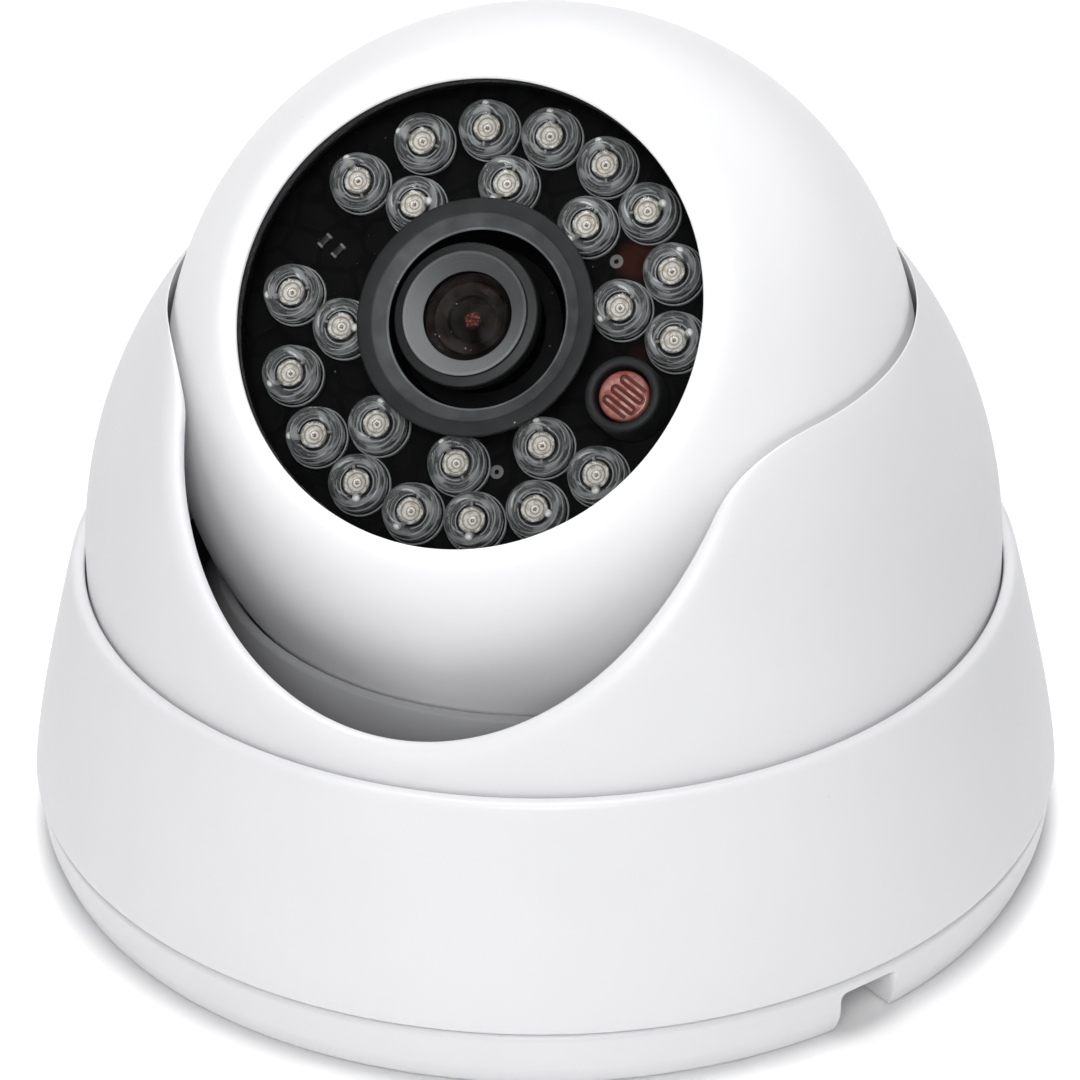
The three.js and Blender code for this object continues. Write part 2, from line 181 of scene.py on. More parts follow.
def rounded(corners, steps=5, closed=True):
    """A profile from (radius, height, fillet) corners, each corner an arc of its fillet."""
    points = []
    last = len(corners) - 1
    for i, (r, h, fillet) in enumerate(corners):
        here = Vector((r, h))
        if not fillet or (not closed and i in (0, last)):
            points.append((r, h))
            continue
        before = Vector(corners[i - 1][:2]) - here
        after = Vector(corners[(i + 1) % len(corners)][:2]) - here
        u, v = before.normalized(), after.normalized()
        half = u.angle(v) / 2
        if half > STRAIGHT:
            points.append((r, h))
            continue
        reach = min(fillet / tan(half), 0.48 * before.length, 0.48 * after.length)
        centre = here + (u + v).normalized() * (reach / cos(half))
        start, end = here + u * reach - centre, here + v * reach - centre
        turn = start.angle(end)
        for k in range(steps + 1):
            t = k / steps
            from_start = start * sin((1 - t) * turn)
            from_end = end * sin(t * turn)
            points.append(tuple(centre + (from_start + from_end) / sin(turn)))
    return points


def bezier(a, b, c, d, steps):
    """Points on a cubic curve between two (radius, height) ends."""
    a, b, c, d = (Vector(p) for p in (a, b, c, d))
    points = []
    for k in range(steps + 1):
        t = k / steps
        s = 1 - t
        points.append(tuple(a * s**3 + b * 3 * s * s * t + c * 3 * s * t * t + d * t**3))
    return points


def arc(radius, centre, low, high, steps):
    """Points on a circle about (0, centre), from one height to another."""
    start, end = (asin((h - centre) / radius) for h in (low, high))
    return [
        (radius * cos(t), centre + radius * sin(t))
        for t in (start + (end - start) * k / steps for k in range(steps + 1))
    ]


def turned(name, profile, matrix=UPRIGHT, segments=ROUND):
    """A profile turned about the matrix's Z axis. A radius of 0 is one point on the axis."""
    points, rows = [], []
    for r, h in profile:
        if r < 1e-6:
            rows.append([len(points)] * segments)
            points.append((0, 0, h))
            continue
        rows.append(list(range(len(points), len(points) + segments)))
        for k in range(segments):
            angle = 2 * pi * k / segments
            points.append((r * cos(angle), r * sin(angle), h))
    open_ended = profile[0][0] < 1e-6 and profile[-1][0] < 1e-6
    pairs = list(zip(rows, rows[1:])) + ([] if open_ended else [(rows[-1], rows[0])])
    faces = []
    for low, high in pairs:
        for k in range(segments):
            following = (k + 1) % segments
            loop = [low[k], low[following], high[following], high[k]]
            loop = [v for i, v in enumerate(loop) if v != loop[i - 1]]
            if len(loop) > 2:
                faces.append(loop)
    return mesh_object(name, points, faces, matrix)


def washer(name, inner, outer, low, high, fillets, steps, matrix=BALL, segments=ROUND):
    """A turned ring, or a disc if inner is 0. The fillets run from the lower inner corner outwards and up."""
    corners = zip((inner, outer, outer, inner), (low, low, high, high), fillets)
    return turned(name, rounded(list(corners), steps, closed=inner > 0), matrix, segments)


def lofted(name, rows, matrix=UPRIGHT):
    """A skin through rows of points, each row a closed loop, with the first and the last row filled in."""
    count = len(rows[0])
    points = [p for row in rows for p in row]
    faces = [tuple(range(count)), tuple(range(len(points) - count, len(points)))]
    for row in range(len(rows) - 1):
        for k in range(count):
            a, b = row * count + k, row * count + (k + 1) % count
            faces.append((a, b, b + count, a + count))
    return mesh_object(name, points, faces, matrix)


def swept(name, path, radius, matrix=UPRIGHT, sides=12, squash=1.0):
    """A round bar with domed ends along a path of points. squash flattens it along Z."""
    path = [Vector(p) for p in path]
    last = len(path) - 1
    dome_sizes, dome_length = (0.02, 0.7, 1.0), 0.6 * radius
    stops = [(0, size, -1) for size in dome_sizes]
    stops += [(i, 1.0, 1) for i in range(1, last)]
    stops += [(last, size, 1) for size in reversed(dome_sizes)]
    rings = []
    for i, size, way in stops:
        ahead = path[min(i + 1, last)] - path[max(i - 1, 0)]
        ahead.normalize()
        side = ahead.cross(Vector((0, 0, 1)))
        side = side.normalized() if side.length > 1e-4 else Vector((1, 0, 0))
        up = side.cross(ahead)
        middle = path[i] + ahead * (way * dome_length * sqrt(1 - size * size))
        rings.append([
            middle + (side * cos(a) + up * sin(a) * squash) * radius * size
            for a in (2 * pi * k / sides for k in range(sides))
        ])
    return lofted(name, rings, matrix)


def block(name, size, middle, bevel, matrix=UPRIGHT):
    """A box with rounded edges."""
    half = [s / 2 for s in size]
    points = [
        (middle[0] + x * half[0], middle[1] + y * half[1], middle[2] + z * half[2])
        for z in (-1, 1) for y in (-1, 1) for x in (-1, 1)
    ]
    faces = [(0, 2, 3, 1), (4, 5, 7, 6), (0, 1, 5, 4), (2, 6, 7, 3), (0, 4, 6, 2), (1, 3, 7, 5)]
    obj = mesh_object(name, points, faces, matrix)
    edges = obj.modifiers.new("edges", "BEVEL")
    edges.width = bevel * MM
    edges.segments = 3
    return baked(obj)


def baked(obj):
    """Puts the result of an object's modifiers into its mesh."""
    shown = obj.evaluated_get(bpy.context.evaluated_depsgraph_get())
    mesh = bpy.data.meshes.new_from_object(shown)
    obj.modifiers.clear()
    obj.data = mesh
    smooth(mesh)
    return obj


def combined(obj, others, operation):
    """Joins the other objects on, or cuts them away, and removes them."""
    for other in others:
        step = obj.modifiers.new(operation, "BOOLEAN")
        step.operation = operation
        step.solver = "EXACT"
        step.object = other
    bpy.context.view_layer.update()
    baked(obj)
    for other in others:
        bpy.data.objects.remove(other)
    even = obj.modifiers.new("even", "WEIGHTED_NORMAL")
    even.keep_sharp = True
    return obj


def joined(obj, others):
    """Adds the other objects' faces, with their materials, to one object's mesh."""
    whole = bmesh.new()
    inverse = obj.matrix_world.inverted()
    materials = []
    for part in [obj, *others]:
        piece = part.data.copy()
        piece.transform(inverse @ part.matrix_world)
        first = len(materials)
        materials += list(piece.materials) or [None]
        for face in piece.polygons:
            face.material_index += first
        whole.from_mesh(piece)
        bpy.data.meshes.remove(piece)
    obj.data.materials.clear()
    for material in materials:
        obj.data.materials.append(material)
    whole.to_mesh(obj.data)
    whole.free()
    for other in others:
        bpy.data.objects.remove(other)
    return obj


def settled(obj):
    """Puts an object's place into its mesh, so that its own frame is the object's frame."""
    obj.data.transform(obj.matrix_world)
    obj.matrix_world = UPRIGHT
    return obj


def paint(obj, material):
    obj.data.materials.clear()
    obj.data.materials.append(material)
    return obj


def finished(obj, body, slot, *nodes):
    """Puts a piece under what it rides on, and hides the CAD nodes that it stands for. slot, its finish, is
    not used.
    """
    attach(obj, body)
    if nodes:
        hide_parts(*nodes)
    return obj


# ---- materials ----
class Shader:
    """The node tree of a material or of the world, with short calls to add and link nodes."""

    def __init__(self, name, world=False):
        self.look = (bpy.data.worlds if world else bpy.data.materials).new(name)
        self.look.use_nodes = True
        self.tree = self.look.node_tree
        self.tree.nodes.clear()
        self.output = self.add("OutputWorld" if world else "OutputMaterial")
        where = self.add("TexCoord").outputs
        if world:
            self.place = where["Generated"]     # a direction in the sky
        else:
            scaled = {0: where["Object"], "Scale": 1 / MM}      # millimetres in the piece's own frame
            self.place = self.add("VectorMath", scaled, operation="SCALE").outputs[0]

    def add(self, kind, sockets=None, **settings):
        node = self.tree.nodes.new("ShaderNode" + kind)
        for key, value in settings.items():
            setattr(node, key, value)
        for key, value in (sockets or {}).items():
            if isinstance(value, bpy.types.NodeSocket):
                self.tree.links.new(value, node.inputs[key])
            else:
                node.inputs[key].default_value = value
        return node

    def surface(self, node):
        self.tree.links.new(node.outputs[0], self.output.inputs["Surface"])
        return self.look

    def principled(self, sockets):
        return self.surface(self.add("BsdfPrincipled", sockets))

    def blend(self, factor, a, b):
        return self.add("MixShader", {0: factor, 1: a.outputs[0], 2: b.outputs[0]})

    def vector(self, operation, a, b=(0, 0, 0), output=0):
        return self.add("VectorMath", {0: a, 1: b}, operation=operation).outputs[output]

    def noise(self, vector, scale, detail=3.0, roughness=0.5):
        sockets = {"Vector": vector, "Scale": scale, "Detail": detail, "Roughness": roughness}
        return self.add("TexNoise", sockets).outputs["Fac"]

    def math(self, operation, a, b=0.0, clamp=False):
        return self.add("Math", {0: a, 1: b}, operation=operation, use_clamp=clamp).outputs[0]

    def times(self, a, b):
        return self.math("MULTIPLY", a, b)

    def plus(self, a, b, clamp=False):
        return self.math("ADD", a, b, clamp)

    def between(self, value, low, high, to_low, to_high, smooth_step=False):
        kind = "SMOOTHSTEP" if smooth_step else "LINEAR"
        sockets = {0: value, 1: low, 2: high, 3: to_low, 4: to_high}
        return self.add("MapRange", sockets, interpolation_type=kind).outputs[0]

    def spread(self, noise, to_low, to_high):
        """The usual range of a noise, stretched between two values."""
        return self.between(noise, 0.3, 0.7, to_low, to_high)

    def mix_colour(self, factor, a, b):
        node = self.add("Mix", {0: factor}, data_type="RGBA")
        for key, value in ((6, a), (7, b)):
            if isinstance(value, bpy.types.NodeSocket):
                self.tree.links.new(value, node.inputs[key])
            else:
                node.inputs[key].default_value = (*value, 1)
        return node.outputs[2]

    def bump(self, height, distance, strength=1.0):
        """distance is in millimetres."""
        sockets = {"Height": height, "Distance": distance * MM, "Strength": strength}
        return self.add("Bump", sockets).outputs[0]

    def radius(self):
        """Distance from the piece's axis."""
        flat = self.vector("MULTIPLY", self.place, (1, 1, 0))
        return self.vector("LENGTH", flat, output="Value")

    def specks(self, spacing, size):
        """1 on sparse small dots, and 0 elsewhere."""
        cells = self.add("TexVoronoi", {"Vector": self.place, "Scale": 1 / spacing})
        dots = self.between(cells.outputs["Distance"], size / spacing, 0.6 * size / spacing, 0.0, 1.0)
        return self.times(dots, self.math("GREATER_THAN", self.noise(self.place, 0.31, 1.0), 0.55))


def white_shell(name, colour, lighter):
    s = Shader(name)
    cloud = s.spread(s.noise(s.place, 0.06, 2.0), 0.0, 1.0)
    grain = s.noise(s.place, 5.5, 4.0, 0.6)
    dust = s.times(s.specks(6.0, 0.13), 0.35)
    return s.principled({
        "Base Color": s.mix_colour(dust, s.mix_colour(cloud, colour, lighter), (0.55, 0.54, 0.52)),
        "Roughness": s.spread(s.noise(s.place, 1.1, 3.0), 0.33, 0.41),
        "IOR": 1.5,
        "Normal": s.bump(grain, 0.012, 0.6),
    })


def rubber(name="black_rubber", colour=(0.012, 0.0125, 0.014), lint=0.5, gloss=0.5):
    s = Shader(name)
    grain = s.noise(s.place, 9.0, 4.0, 0.65)
    cloud = s.spread(s.noise(s.place, 0.5, 3.0), 0.0, 1.0)
    dust = s.times(s.specks(1.1, 0.085), lint)
    lighter = tuple(c * 1.8 for c in colour)
    return s.principled({
        "Base Color": s.mix_colour(dust, s.mix_colour(cloud, colour, lighter), (0.6, 0.6, 0.58)),
        "Roughness": s.spread(grain, 0.52, 0.7),
        "Specular IOR Level": gloss,
        "Normal": s.bump(grain, 0.02, 0.5),
    })


def solder_mask(name, colour, lighter, stains=()):
    """Lacquer over copper: a faint net of raised tracks, a little dust, and stains of another colour."""
    s = Shader(name)
    net = s.add("TexVoronoi", {"Vector": s.place, "Scale": 0.32}, feature="DISTANCE_TO_EDGE")
    copper = s.between(net.outputs["Distance"], 0.06, 0.1, 0.0, 1.0)
    grain = s.noise(s.place, 6.0, 3.0)
    mask = s.mix_colour(copper, colour, lighter)
    for (x, y), reach, stain in stains:
        apart = s.vector("DISTANCE", s.place, (x, y, BOARD_FACE), output="Value")
        uneven = s.plus(apart, s.times(grain, 0.8))
        mask = s.mix_colour(s.between(uneven, reach * 0.6, reach * 1.2, 1.0, 0.0, True), mask, stain)
    return s.principled({
        "Base Color": s.mix_colour(s.times(s.specks(1.3, 0.09), 0.35), mask, (0.5, 0.5, 0.5)),
        "Roughness": s.spread(grain, 0.42, 0.55),
        "Specular IOR Level": 0.08,
        "Normal": s.bump(s.plus(s.times(copper, 0.7), s.times(grain, 0.3)), 0.03, 0.5),
    })


def clear_pane():
    """Polycarbonate: see-through, with a mirror film that follows the angle and a few faint marks."""
    s = Shader("window_polycarbonate")
    marks = s.noise(s.place, 0.9, 5.0, 0.7)
    roughness = s.between(marks, 0.4, 0.7, 0.02, 0.06)
    mirror = s.add("BsdfGlossy", {"Color": (1, 1, 1, 1), "Roughness": roughness})
    through = s.add("BsdfTransparent", {"Color": (0.985, 0.99, 0.99, 1)})
    film = s.add("Fresnel", {"IOR": 1.45, "Normal": s.bump(marks, 0.004, 0.2)}).outputs[0]
    return s.surface(s.blend(film, through, mirror))


def lamp_epoxy():
    """Water-clear epoxy, with painted light: milky rings and streaks painted like the images that the curved
    body draws of its own lead frame, and a painted bright highlight round its edge.
    """
    s = Shader("lamp_epoxy")
    around = s.vector("NORMALIZE", s.vector("SUBTRACT", s.place, (0, 0, LAMP_H - BODY)))
    split = s.add("SeparateXYZ", {0: around})
    slope = s.math("ARCCOSINE", split.outputs[2])
    stretched = [s.times(split.outputs[0], 0.8), s.times(split.outputs[1], 0.8), s.times(slope, 1.7)]
    swirl = s.add("CombineXYZ", dict(enumerate(stretched))).outputs[0]
    streak = s.between(s.noise(swirl, 1.4, 1.0, 0.5), 0.46, 0.64, 0.0, 1.0, True)
    line = s.between(s.math("SINE", s.times(slope, 12.0)), 0.8, 0.98, 0.0, 1.0)
    broken = s.between(s.noise(around, 1.4, 2.0), 0.42, 0.55, 0.1, 1.0)
    turned_away = s.add("LayerWeight", {"Blend": 0.5}).outputs["Facing"]
    lens_edge = s.between(turned_away, 0.12, 0.24, 0.0, 1.0, True)
    # Painted highlight: a bright rim where the surface turns away from view.
    rim = s.between(turned_away, 0.8, 0.95, 0.0, 0.8, True)
    bands = s.plus(s.times(streak, 0.38), s.times(s.times(line, broken), 0.6))
    # How much painted image and painted rim highlight covers the clear epoxy.
    haze = s.plus(s.times(s.plus(bands, 0.13), lens_edge), rim, True)
    painted_images = s.add("BsdfDiffuse", {"Color": (0.86, 0.88, 0.89, 1)})
    mirror = s.add("BsdfGlossy", {"Roughness": s.between(streak, 0.0, 1.0, 0.05, 0.12)})
    through = s.add("BsdfTransparent", {"Color": (1, 1, 1, 1)})
    film = s.add("Fresnel", {"IOR": 1.4}).outputs[0]
    return s.surface(s.blend(film, s.blend(haze, through, painted_images), mirror))


def reflector_cup():
    """Silvered cup seen through the epoxy: cream, with turned rings, warm blotches and an edge that turns
    dark.
    """
    s = Shader("lamp_reflector")
    radius = s.radius()
    blotch = s.noise(s.place, 2.4, 3.0, 0.6)
    wavy = s.plus(s.times(radius, 16.0), s.times(blotch, 2.5))
    rings = s.between(s.math("SINE", wavy), 0.1, 0.9, 0.0, 0.85)
    warm = s.mix_colour(s.between(blotch, 0.48, 0.66, 0.0, 0.8), (0.94, 0.925, 0.87), (0.60, 0.44, 0.33))
    turned_rings = s.mix_colour(rings, warm, (0.30, 0.255, 0.21))
    darker_edge = s.between(s.plus(radius, s.times(blotch, 0.9)), 1.3, 1.62, 0.0, 0.85, True)
    return s.principled({
        "Base Color": s.mix_colour(darker_edge, turned_rings, (0.16, 0.15, 0.14)),
        "Roughness": s.spread(blotch, 0.25, 0.45),
        "Normal": s.bump(rings, 0.02, 0.4),
    })


def grained(name, colour, scale, shade, roughness, bump, metallic):
    """One colour and a darker shade of it, with a grain in the gloss and in the surface."""
    s = Shader(name)
    grain = s.noise(s.place, scale, 4.0, 0.6)
    darker = tuple(c * shade for c in colour)
    return s.principled({
        "Base Color": s.mix_colour(s.between(grain, 0.35, 0.65, 0.0, 1.0), darker, colour),
        "Metallic": metallic,
        "Roughness": s.spread(grain, *roughness),
        "Normal": s.bump(grain, *bump),
    })


def metal(name, colour, roughness):
    return grained(name, colour, 3.0, 0.8, (roughness * 0.8, roughness * 1.25), (0.01, 0.3), 1.0)


def plastic(name, colour, roughness):
    return grained(name, colour, 6.0, 0.85, (roughness * 0.85, roughness * 1.2), (0.012, 0.5), 0.0)


def seat_acetal():
    """Pale acetal, with painted shade: darker towards its outer edge, where the gap under the cover's lip
    lies in shadow.
    """
    s = Shader("seat_acetal")
    grain = s.noise(s.place, 5.0, 4.0, 0.6)
    # Painted shade: the ring darkens outwards, towards the shadowed gap under the lip.
    painted_gap_shade = s.between(s.radius(), 29.2, 31.8, 0.0, 1.0)
    return s.principled({
        "Base Color": s.mix_colour(painted_gap_shade, (0.40, 0.402, 0.41), (0.085, 0.086, 0.09)),
        "Roughness": s.spread(grain, 0.5, 0.65),
        "Normal": s.bump(grain, 0.012, 0.5),
    })


def barrel_finish(name, darker, lighter):
    """Grey paint with faint turning rings, and painted light: lighter towards the bottom of the front face,
    where the light catches it.
    """
    s = Shader(name)
    along_radius = s.add("CombineXYZ", {0: s.times(s.radius(), 14.0)}).outputs[0]
    rings = s.spread(s.noise(along_radius, 1.0, 2.0), 0.0, 0.15)
    grain = s.noise(s.place, 12.0, 4.0, 0.6)
    down = s.vector("DOT_PRODUCT", s.place, (-0.25, -0.97, 0), output="Value")
    # Painted light towards the bottom of the front face, added to the real turning rings.
    painted_light_and_rings = s.plus(s.between(down, -4.5, 4.5, 0.0, 0.85, True), rings)
    return s.principled({
        "Base Color": s.mix_colour(painted_light_and_rings, darker, lighter),
        "Roughness": s.spread(grain, 0.42, 0.55),
        "Normal": s.bump(grain, 0.01, 0.6),
    })


def coated_glass():
    """Front lens: see-through, with a weak mirror film, a thin haze and a few specks of dust."""
    s = Shader("coated_lens_glass")
    film = s.noise(s.place, 0.5, 2.0)
    tint = s.mix_colour(s.between(film, 0.35, 0.65, 0.0, 1.0), (0.75, 0.62, 0.60), (0.62, 0.60, 0.72))
    roughness = s.spread(film, 0.1, 0.2)
    mirror = s.add("BsdfGlossy", {"Color": tint, "Roughness": roughness})
    through = s.add("BsdfTransparent", {"Color": (0.9, 0.87, 0.85, 1)})
    dust = s.add("BsdfDiffuse", {"Color": (0.5, 0.48, 0.46, 1)})
    spots = s.plus(s.times(s.specks(0.8, 0.08), 0.8), s.between(film, 0.4, 0.7, 0.0, 0.035))
    gloss = s.add("Fresnel", {"IOR": 1.12}).outputs[0]
    return s.surface(s.blend(gloss, s.blend(spots, through, dust), mirror))


def inner_lens():
    """What shows through the front lens: a brownish ring, a black pupil, and red specks in its middle."""
    s = Shader("inner_lens")
    radius = s.radius()
    cloud = s.between(s.noise(s.place, 0.45, 3.0), 0.38, 0.65, 0.0, 1.0)
    fine = s.noise(s.place, 4.5, 2.0, 0.6)
    ring = s.mix_colour(cloud, (0.009, 0.0085, 0.0085), (0.034, 0.028, 0.026))
    outside = s.between(radius, 1.5, 3.3, 0.0, 1.0, True)
    pupil = s.mix_colour(outside, (0.0022, 0.0022, 0.0022), ring)
    middle = s.between(radius, 0.45, 0.85, 1.0, 0.0, True)
    speck = s.times(s.between(fine, 0.47, 0.6, 0.12, 1.0), middle)
    return s.principled({
        "Base Color": s.mix_colour(speck, pupil, (0.42, 0.13, 0.10)),
        "Roughness": s.spread(fine, 0.35, 0.55),
        "Specular IOR Level": 0.2,
    })


def photocell_face():
    """Glazed red compound, blotchy, and darker round its edge."""
    s = Shader("photocell_face")
    blotch = s.between(s.noise(s.place, 1.1, 4.0, 0.6), 0.4, 0.6, 0.0, 1.0)
    grain = s.noise(s.place, 8.0, 3.0)
    dark_edge = s.between(s.radius(), 1.3, 2.15, 0.0, 0.85, True)
    face = s.mix_colour(blotch, (0.46, 0.14, 0.11), (0.83, 0.47, 0.42))
    return s.principled({
        "Base Color": s.mix_colour(dark_edge, face, (0.34, 0.07, 0.05)),
        "Roughness": s.spread(grain, 0.3, 0.45),
        "Coat Weight": 0.6,
        "Normal": s.bump(grain, 0.01, 0.4),
    })


WHITE = white_shell("white_abs", (0.715, 0.715, 0.732), (0.735, 0.735, 0.752))
# Painted light: the ball's shells are lighter than the other white shells, for the brighter light that falls
# on the ball.
LIT_BALL_WHITE = white_shell("ball_white_abs_lit", (0.84, 0.84, 0.852), (0.86, 0.86, 0.872))
RUBBER = rubber()
GASKET = rubber("gasket_rubber", (0.003, 0.003, 0.0034), 0.3, 0.06)
GREY_ACETAL = seat_acetal()
HOOD_RUBBER = rubber("hood_rubber", (0.015, 0.0155, 0.0165), 1.0)
BLACK_MASK = solder_mask(
    "black_solder_mask", (0.003, 0.003, 0.0035), (0.005, 0.005, 0.0055),
    [((11.8, 7.9), 2.2, (0.045, 0.013, 0.010)), ((14.0, -0.4), 1.6, (0.016, 0.007, 0.006))],
)
GREEN_MASK = solder_mask("green_solder_mask", (0.012, 0.075, 0.03), (0.02, 0.12, 0.05))
PANE = clear_pane()
EPOXY = lamp_epoxy()
CUP = reflector_cup()
STEEL = metal("zinc_plated_steel", (0.62, 0.62, 0.64), 0.3)
DIE = plastic("lamp_die", (0.16, 0.085, 0.06), 0.3)
# A painted glint: the white of the dot that stands for each lamp's highlight.
GLINT = plastic("painted_glint_white", (0.97, 0.97, 0.96), 0.2)
FRAME_IMAGE = plastic("lead_frame_image", (0.55, 0.57, 0.58), 0.4)
BARREL = barrel_finish("barrel_paint", (0.10, 0.104, 0.109), (0.33, 0.337, 0.346))
BARREL_DARK = barrel_finish("barrel_paint_dark", (0.016, 0.0165, 0.0175), (0.022, 0.023, 0.024))
# Lighter copies of the hood rubber: painted light on the sloping band, and painted highlights on the bore's
# edge and on the ridge.
HOOD_BAND = rubber("hood_band", (0.072, 0.074, 0.077), 1.0)
# A painted highlight for the bright line along the bore's edge.
HOOD_EDGE_HIGHLIGHT = rubber("hood_edge_painted_highlight", (0.15, 0.153, 0.157), 1.0)
# A painted highlight for the faint light line along the ridge.
HOOD_RIDGE = rubber("hood_ridge", (0.045, 0.046, 0.048), 1.0)
LENS_GLASS = coated_glass()
INNER_LENS = inner_lens()
BLACK_PLASTIC = rubber("moulded_black", (0.004, 0.004, 0.0045), 0.2, 0.1)
DULL_TIN = plastic("dull_tin", (0.21, 0.21, 0.205), 0.5)
CHIP_BODY = plastic("small_parts", (0.02, 0.017, 0.015), 0.5)
CHIP_GLASS = plastic("sensor_chip_glass", (0.03, 0.035, 0.055), 0.12)
NYLON = plastic("connector_nylon", (0.72, 0.70, 0.63), 0.45)
CELL_FACE = photocell_face()
CELL_TRACK = plastic("photocell_track", (0.15, 0.028, 0.022), 0.35)


# ---- base ----
def notch_cutter():
    """The side notch, from inside the floor to past the wall, flared where it meets the outer faces."""
    corner, flare, foot = 0.7, 0.45, 1.0
    inner_r, wall_r, outer_r = 35.0, BASE_R - 0.9, BASE_R + 1.0

    quarter = [pi / 2 * k / 5 for k in range(1, 6)]

    def outline(grow):
        half, top = NOTCH_W / 2 + grow, NOTCH_H + grow
        side = [(half + foot, -1.0), (half + foot, 0.0)]
        side += [(half + foot - foot * sin(a), foot - foot * cos(a)) for a in quarter]
        side += [
            (half - corner + corner * cos(a), top - corner + corner * sin(a))
            for a in (pi / 2 * k / 4 for k in range(5))
        ]
        return side + [(-x, z) for x, z in reversed(side)]

    steps = [(inner_r, 0.0), (wall_r, 0.0)]
    steps += [(wall_r + flare * sin(a) * 1.6, flare * (1 - cos(a))) for a in quarter]
    steps.append((outer_r, flare + 0.25))
    rows = [[(x, -r, z) for x, z in outline(grow)] for r, grow in steps]
    return lofted("notch", rows, about(NOTCH_ANGLE, UPRIGHT))


def base_plate():
    hole_r, lip_r, lip_h = 7.0, 44.6, 8.6
    wall_r, wall_in, wall_h = 42.0, 39.7, 12.8
    plate = turned("base_shell", rounded([
        (hole_r, 0, 0.4), (30.5, 0, 0), (BASE_R - 1.25, 0, 0.9), (BASE_R - 0.35, 2.3, 4.0),
        (BASE_R, BASE_TOP, 0.55), (lip_r, BASE_TOP, 0.2), (lip_r, lip_h, 0.4), (43.2, lip_h, 0.4),
        (43.2, FLOOR_TOP, 0.3), (wall_r, FLOOR_TOP, 0.3), (wall_r, wall_h, 0.4), (wall_in, wall_h, 0.4),
        (wall_in, FLOOR_TOP, 0.8), (hole_r, FLOOR_TOP, 0.3),
    ], 6))
    screw_circle = 30.0
    holes = [
        turned("screw_hole", [
            (0, -1), (3.2, -1), (2.55, 0.0), (2.2, 0.4), (2.2, FLOOR_TOP - 0.3), (2.6, FLOOR_TOP + 0.1),
            (3.2, FLOOR_TOP + 1), (0, FLOOR_TOP + 1),
        ], at(screw_circle, matrix=about(angle, UPRIGHT)), SMALL_ROUND)
        for angle in (90, 210, 330)
    ]
    combined(plate, [notch_cutter(), *holes], "DIFFERENCE")
    return finished(paint(plate, WHITE), "base", "white_shell", "base_plate")


def skirt_cover():
    rim_r, bore_r, foot_in = 42.95, 41.25, 44.9
    wall_low, wall_top, bore_low = SKIRT_LOW + 0.4, SKIRT_TOP - 1.9, 16.6
    foot = [(foot_in, SKIRT_LOW, 0.2), (SKIRT_R - 0.05, SKIRT_LOW, 0.35), (SKIRT_R, wall_low + 0.3, 0)]
    profile = rounded(foot, 4)[:-1]
    profile += bezier((SKIRT_R, wall_low), (46.25, 10.5), (44.7, 17.5), (rim_r, wall_top), 24)[:-1]
    profile += rounded([
        (rim_r, wall_top, 0), (rim_r - 0.45, SKIRT_TOP, 1.15), (bore_r, SKIRT_TOP, 0.3),
        (bore_r, bore_low, 0.2), (43.3, bore_low, 0.3), (44.1, 11.5, 3.0), (foot_in, 9.0, 1.0),
        (foot_in, SKIRT_LOW, 0),
    ], 7, closed=False)[:-1]
    skirt = turned("skirt_shell", profile)
    return finished(paint(skirt, WHITE), "base", "white_shell", "skirt_cover")


def grommet():
    ring = turned("grommet", rounded([
        (3.6, 0.4, 0.4), (6.6, 0.4, 0.3), (6.6, 2.9, 0.1), (8.6, 2.9, 0.3), (8.6, 3.8, 0.3),
        (3.6, 3.8, 0.4),
    ], 5), UPRIGHT, SMALL_ROUND)
    return finished(paint(ring, RUBBER), "base", "black_rubber", "cable_grommet")


# ---- turning cover ----
def opening_edge(count):
    """The opening's sharp edge on the outer sphere: round the U in front, then along the rim at the back.

    Each entry is (point, direction in which the wall's end face runs from it).
    """
    depth = OPENING_Z - COVER_TOP
    fillet = (SHOULDER_X**2 + depth**2 - OPENING_R**2) / (2 * (OPENING_R - depth))
    lean = asin((depth + fillet) / (OPENING_R + fillet))
    centre_z = COVER_TOP - fillet
    front = []
    for k in range(200):
        a = -pi / 2 + (pi / 2 - lean) * k / 200
        front.append((OPENING_R * cos(a), OPENING_Z + OPENING_R * sin(a)))
    for k in range(60):
        a = pi - lean + (lean - pi / 2) * k / 60
        front.append((SHOULDER_X + fillet * cos(a), centre_z + fillet * sin(a)))
    rim_r = sqrt(COVER_R**2 - (COVER_TOP - COVER_Z) ** 2)
    line = [
        (Vector((x, -sqrt(COVER_R**2 - x * x - (z - COVER_Z) ** 2), z)), Vector((0, 1, 0)))
        for x, z in front
    ]
    first = -acos(SHOULDER_X / rim_r)
    for k in range(181):
        a = first + (pi / 2 - first) * k / 180
        outward = Vector((cos(a), sin(a), 0))
        share = min(1.0, k / 30)
        run = (Vector((0, 1, 0)) * (1 - share) - outward * share).normalized()
        line.append((outward * rim_r + Vector((0, 0, COVER_TOP)), run))
    return even_spacing(line, count // 2)


def even_spacing(line, count):
    """Half of the edge at equal steps, count of them, and then the other half by symmetry."""
    lengths = [0.0]
    for (a, _), (b, _) in zip(line, line[1:]):
        lengths.append(lengths[-1] + (b - a).length)
    half, at = [], 0
    for k in range(count + 1):
        want = lengths[-1] * k / count
        while at < len(line) - 2 and lengths[at + 1] < want:
            at += 1
        t = (want - lengths[at]) / (lengths[at + 1] - lengths[at])
        (point, run), (next_point, next_run) = line[at], line[at + 1]
        half.append((point.lerp(next_point, t), run.lerp(next_run, t)))
    other = [(Vector((-p.x, p.y, p.z)), Vector((-d.x, d.y, d.z))) for p, d in half[-2:0:-1]]
    return half + other


